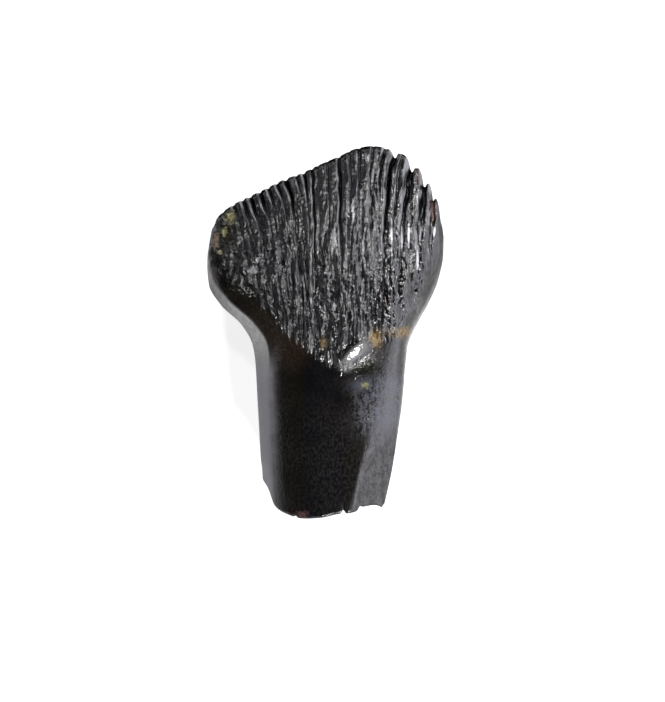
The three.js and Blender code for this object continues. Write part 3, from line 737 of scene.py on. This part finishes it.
def enamel_readings(tree):
    """What the enamel's finishes share: places on the tooth in millimetres, its areas, and noises."""
    at = SimpleNamespace(place=tree.node("ShaderNodeTexCoord", out="Object"))
    at.x, at.y, at.z = (part * 1000 for part in tree.parts(at.place))
    at.crosswise, at.lengthwise, at.face, at.height, at.bank, inside = (
        tree.attribute(name) for name in ("crosswise", "lengthwise", "face", "height", "bank", "ridged")
    )
    at.along = tree.join(at.crosswise, at.lengthwise * 0.3, at.face)
    at.cloud = tree.noise(at.place, CLOUD_SCALE, 3, 0.55)
    at.speckle = tree.noise(at.place, SPECKLE_SCALE, 3, 0.75)
    at.fleck = tree.noise(at.along, 5.0, 4, 0.7)
    at.ragged = (tree.noise(at.place, RAGGED_SCALE, 3, 0.75) - 0.5) * 2.6
    at.edge = wavy_edge(tree, at.place)
    at.ridged = ridged_share(inside, at.edge)
    at.facet = (at.x - at.y * FACET_LEAN - FACET_X + at.edge * 0.3).step(-0.1, 0.35)
    at.facet = at.facet * (1 - (at.y + at.edge).step(-2.4, -0.6))
    along, over = along_knob(at.x - KNOB_PLACE[0], at.y - KNOB_PLACE[1], POLISH_REACH)
    at.polish = 1 - (along * along + over * over).step(0.3, 1.2)
    at.broken = at.face.step(0.0, 0.04) * (1 - at.face.step(0.96, 1.0)) * (1 - (at.y + 4.0).step(0.0, 0.4))
    at.rim = (1 - at.lengthwise.step(0.02, 0.16)) * at.ridged
    # Hollows of the ridged crown, painted black as shade and made dull.
    at.hollow = (1 - at.height.step(-0.26, -0.08)) * at.ridged * (1 - at.polish)
    return at


def smooth_enamel(tree, at):
    """Almost black, browner below the crown on the left, bluish down the middle, with fine grey flecks."""
    brown = (at.cloud - 0.35).step(0.0, 0.3) * (at.y + at.x * 0.5 + 3.4).step(0.0, 2.6)
    navy = (1 - ((at.x + at.edge * 0.6 - NAVY_BAND[0]) / NAVY_BAND[1]) ** 2).step(-0.6, 0.5)
    colour = tree.mix(navy, BLACK_ENAMEL, NAVY_ENAMEL)
    colour = tree.mix(brown, colour, BROWN_ENAMEL)
    flecks = tree.noise(tree.join(at.x * 13, at.y * 8, at.face), 1.0, 3, 0.75).step(0.42, 0.62)
    return tree.mix(flecks * at.cloud.step(0.3, 0.65), colour, FLECK_GREY)


def ridged_enamel(tree, at):
    """Grey where the crown is worn, paler where it stands high and towards its right side as painted light,
    and black in its hollows as painted shade.
    """
    broad = tree.noise(tree.join(at.crosswise * 1.6, at.lengthwise * 0.8, at.face), 1.0, 2, 0.6)
    # Speckles, flecks and broad patches vary the wear at random; height paints light on the high parts and
    # shade in the hollows, and the place to the right paints light falling from the right.
    wear_and_light = at.speckle * 0.9 + at.fleck * 0.7 + broad * 1.4 + at.height * 1.4 + at.crosswise * 0.035
    tint = tree.noise(at.along, 1.6, 3, 0.6)
    pale = tree.mix(tint.step(0.4, 0.6), WORN_LIT_OLIVE, WORN_LIT_BLUE)
    return tree.mix((wear_and_light - WEAR_AND_LIGHT_FROM).step(0.0, WEAR_AND_LIGHT_OVER), DARK_ENAMEL, pale)


def broken_end(tree, at):
    """The brown-grey inside of the tooth."""
    return tree.mix(tree.noise(at.place, BREAK_SCALE, 4, 0.7).step(0.35, 0.65), BREAK_DARK, BREAK_PALE)


def off_spot(at, spot_x, spot_y, wide, long):
    """How far a place is from a spot's middle, in the spot's own reach."""
    return (((at.x - spot_x) / wide) ** 2 + ((at.y - spot_y) / long) ** 2) ** 0.5


def add_stains_and_haze(tree, at, colour):
    """Lays the stains and the painted haze of the knob's highlight over the colour, and says where they are
    dull and where they are ochre.
    """
    dulled, ochre = at.x * 0, at.x * 0
    for spot_x, spot_y, wide, long, patch_colour, strength, soft, dullness in STAINS_AND_HAZE:
        off = off_spot(at, spot_x, spot_y, wide, long)
        spot = (1 - (off + at.ragged).step(0.75 - soft / 2, 0.75 + soft / 2)) * strength
        spot = spot * (at.z + at.ragged * 0.2).step(MARKED_FROM, MARKED_AT)
        blotched = tree.mix(at.speckle.step(0.4, 0.6), tuple(0.45 * part for part in patch_colour), patch_colour)
        colour = tree.mix(spot, colour, blotched)
        dulled = dulled.most(spot * dullness)
        if patch_colour[1] > 1.5 * patch_colour[2]:
            ochre = ochre.most(spot)
    return colour, dulled, ochre


def add_painted_glints(tree, at, colour):
    """Lays the painted glints over the colour, broken up along the ridges."""
    for spot_x, spot_y, wide, long, strength in PAINTED_GLINTS:
        off = off_spot(at, spot_x, spot_y, wide, long)
        mark = (1 - (off + at.ragged * 0.8).step(0.5, 1.1)) * at.fleck.step(0.34, 0.46)
        colour = tree.mix(mark * at.z.step(MARKED_FROM, MARKED_AT) * strength, colour, GLINT_WHITE)
    return colour


def enamel_colour(tree, at):
    """The colour all over the tooth, with its painted glints, highlight and shade, and where its stains are
    dull and ochre.
    """
    colour = tree.mix(at.ridged, smooth_enamel(tree, at), ridged_enamel(tree, at))
    colour = tree.mix(at.broken, colour, broken_end(tree, at))
    colour, dulled, ochre = add_stains_and_haze(tree, at, colour)
    colour = tree.mix(at.rim * 0.95, colour, DARK_ENAMEL)
    colour = add_painted_glints(tree, at, colour)
    # Pale grey painted as the highlight on the knob's polished top.
    colour = tree.mix(at.polish * 0.6, colour, KNOB_HIGHLIGHT_GREY)
    # Black painted as shade in the hollows of the ridged crown.
    return tree.mix(at.hollow * 0.9, colour, GROOVE_SHADE), dulled, ochre


def enamel_roughness(tree, at):
    """Glossy when smooth, patchy on the ridges, satin on the facet and dull on the broken end."""
    on_ridges = at.cloud.spread(0.13, 0.42) * (1 - at.crosswise.step(1.2, 2.2) * 0.5)
    roughness = tree.blend(at.ridged, at.cloud.spread(0.1, 0.2), on_ridges) + at.facet * 0.12
    return roughness.most(at.broken * 0.6)


def enamel_bump(tree, at):
    """Fine pits and scratches of the crown, and the faint grain of the smooth enamel and of the knob."""
    pitted = tree.noise(at.place, GRAIN_SCALE, 2, 0.6) * at.ridged.spread(0.2, 1.2) * (1 - at.hollow * 0.6)
    scratch_place = tree.join(at.crosswise * 7, at.lengthwise * 1.6, at.face * 5)
    scratches = tree.noise(scratch_place, 1.0, 3, 0.65) * at.ridged.spread(0.1, 0.35)
    grain = (pitted + scratches + at.speckle * at.ridged.spread(0.3, 0.12)) * (1 - at.polish * 0.8)
    grain = grain + tree.noise(at.place, KNOB_SCALE, 2, 0.6) * at.polish
    return tree.node("ShaderNodeBump", {}, {"Strength": 1.0, "Distance": BUMP_DEPTH, "Height": grain})


def dull_film(tree, at, colour, bump, dulled, ochre):
    """A dull film in fine flecks, thickest on the facet and the left wall, pale where it is painted as
    reflections on the haze and the left wall and as light on the lit banks, and how much of it shows.
    """
    top, bottom = HAZE_Y
    # Where a pale bluish reflection is painted below the knob, on the root's right half.
    reflection_haze = (at.x + at.edge * 0.8 - HAZE_X).step(0.0, 1.2) * (1 - (at.y + at.edge - top).step(-0.4, 0.4))
    reflection_haze = reflection_haze * (at.y + at.edge - bottom).step(-0.4, 0.9) * (1 - ochre)
    # Where a pale reflection is painted on the left wall.
    wall_reflection = 1 - (at.x + at.edge * 0.2 - WALL_REFLECTION_X).step(-0.12, 0.48)
    wall_reflection = wall_reflection * (1 - (at.y - WALL_REFLECTION_Y).step(-0.6, 0.6))
    lit_bank = at.bank.step(0.02, 0.08) * tree.noise(at.place, BANK_SCALE, 2).step(0.35, 0.6)
    tone = tree.mix(at.facet, colour, FACET_FILM)
    # Pale film painted as reflections on the haze and the left wall, and as light on the lit banks.
    tone = tree.mix(reflection_haze, tone, HAZE_REFLECTION_PAINT)
    tone = tree.mix(wall_reflection, tone, WALL_REFLECTION_PAINT)
    tone = tree.mix(lit_bank, tone, LIT_BANK_PAINT)
    values = {"Base Color": tone, "Roughness": FILM_ROUGHNESS, "Specular IOR Level": 0.0, "Normal": bump}
    film = tree.node("ShaderNodeBsdfPrincipled", {}, values)

    streaks = tree.noise(tree.join(at.x * 7, at.y * 3), 1.0, 3, 0.7)
    share = (at.speckle * 0.5 + streaks * 0.5 - 0.43).step(0.0, 0.14) * at.facet.most(reflection_haze).spread(0.25, 0.65)
    share = share.most(wall_reflection * 0.6).most((1 - at.crosswise.step(-2.8, 0.4)) * at.ridged * 0.4)
    share = share.most(at.hollow * 0.9).most(at.rim).most(dulled).most(lit_bank * 0.6)
    return film, share * (1 - at.polish * 0.9)


def enamel_material():
    """Glossy brown-black enamel, grey and speckled where it is ridged, with small stains, a dull film, and
    painted glints, highlights, reflections and shade.
    """
    material = bpy.data.materials.new("fossil enamel")
    material.use_nodes = True
    tree = Tree(material.node_tree)
    at = enamel_readings(tree)
    colour, dulled, ochre = enamel_colour(tree, at)
    bump = enamel_bump(tree, at)
    shader = tree.host.nodes["Principled BSDF"]
    roughness = enamel_roughness(tree, at)
    tree.feed(shader, {"Base Color": colour, "Roughness": roughness, "IOR": ENAMEL_IOR, "Normal": bump})
    film, share = dull_film(tree, at, colour, bump, dulled, ochre)
    both = tree.node("ShaderNodeMixShader", {}, {0: share, 1: Wire(tree, shader.outputs[0]), 2: film})
    tree.feed(tree.host.nodes["Material Output"], {"Surface": both})
    return material


def put(name, data):
    """A new object in the scene."""
    made = bpy.data.objects.new(name, data)
    bpy.context.scene.collection.objects.link(made)
    return made


def make_tooth(enamel):
    """The net's mesh with its relief applied, as one plain piece."""
    source = put("tooth source", tooth_mesh())
    group = relief_group()
    relief = source.modifiers.new("crown relief", "NODES")
    relief.node_group = group
    for item in group.interface.items_tree:
        if item.in_out == "INPUT" and item.name == "Enamel":
            relief[item.identifier] = enamel
    bpy.context.view_layer.update()
    seen = source.evaluated_get(bpy.context.evaluated_depsgraph_get())
    mesh = bpy.data.meshes.new_from_object(seen)
    mesh.name = "tooth enamel"
    bpy.data.objects.remove(source)
    return put("tooth_enamel", mesh)


def make_table():
    corners = [(x * TABLE_HALF, y * TABLE_HALF, 0) for x, y in ((-1, -1), (1, -1), (1, 1), (-1, 1))]
    mesh = bpy.data.meshes.new("table")
    mesh.from_pydata(corners, [], [(0, 1, 2, 3)])
    paper = bpy.data.materials.new("white table")
    paper.use_nodes = True
    tree = Tree(paper.node_tree)
    tree.feed(tree.host.nodes["Principled BSDF"], {
        "Base Color": (TABLE_GREY, TABLE_GREY, TABLE_GREY, 1),
        "Roughness": 0.8,
        "Specular IOR Level": 0,
        "Emission Color": (1, 1, 1, 1),
        "Emission Strength": TABLE_GLOW,
    })
    mesh.materials.append(paper)
    put("table", mesh)


def light_studio():
    """A pale room, brightest on the right and dim overhead and low on the left, and four small soft lamps."""
    world = bpy.data.worlds.new("studio")
    bpy.context.scene.world = world
    world.use_nodes = True
    tree = Tree(world.node_tree)
    right, back, up = tree.parts(tree.node("ShaderNodeTexCoord", out="Generated"))
    left_wall = up.step(0.1, 0.5).spread(0.6, 2.1)
    on_right = right.step(-0.25, 0.45)
    walls = left_wall * (1 - on_right) + on_right * RIGHT_WALL
    overhead = up + back.most(back * -1) * 0.35
    glow = walls * (1 - overhead.step(0.5, 0.73)) + CEILING
    tree.feed(world.node_tree.nodes["Background"], {"Color": ROOM_TINT, "Strength": glow})
    for tilt_x, tilt_y, radius, radiance in LAMPS:
        lamp = bpy.data.lights.new("lamp", "AREA")
        lamp.shape, lamp.size = "DISK", 2 * radius
        lamp.energy = radiance * math.pi * math.pi * radius**2
        way = Vector((math.tan(math.radians(tilt_x)), math.tan(math.radians(tilt_y)), 1)).normalized()
        seat = put("lamp", lamp)
        seat.location = way * LAMP_DISTANCE
        seat.rotation_euler = (-way).to_track_quat("-Z", "Y").to_euler()


def set_camera():
    """Straight above the middle of the photograph's frame, which it fills at the height of the focus."""
    camera = bpy.data.cameras.new("camera")
    camera.sensor_width = 36
    camera.lens = camera.sensor_width * (CAMERA_HEIGHT - FOCUS_HEIGHT) / (PHOTO_HEIGHT * PIXEL)
    camera.clip_start = 1 * MM
    seat = put("camera", camera)
    right, down = PHOTO_WIDTH / 2 - ORIGIN_PIXEL[0], PHOTO_HEIGHT / 2 - ORIGIN_PIXEL[1]
    seat.location = (right * PIXEL, -down * PIXEL, CAMERA_HEIGHT)
    bpy.context.scene.camera = seat


tooth = make_tooth(enamel_material())
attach(tooth, "root")
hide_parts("tooth")
make_table()
light_studio()
set_camera()
bpy.context.scene.view_settings.view_transform = "Standard"
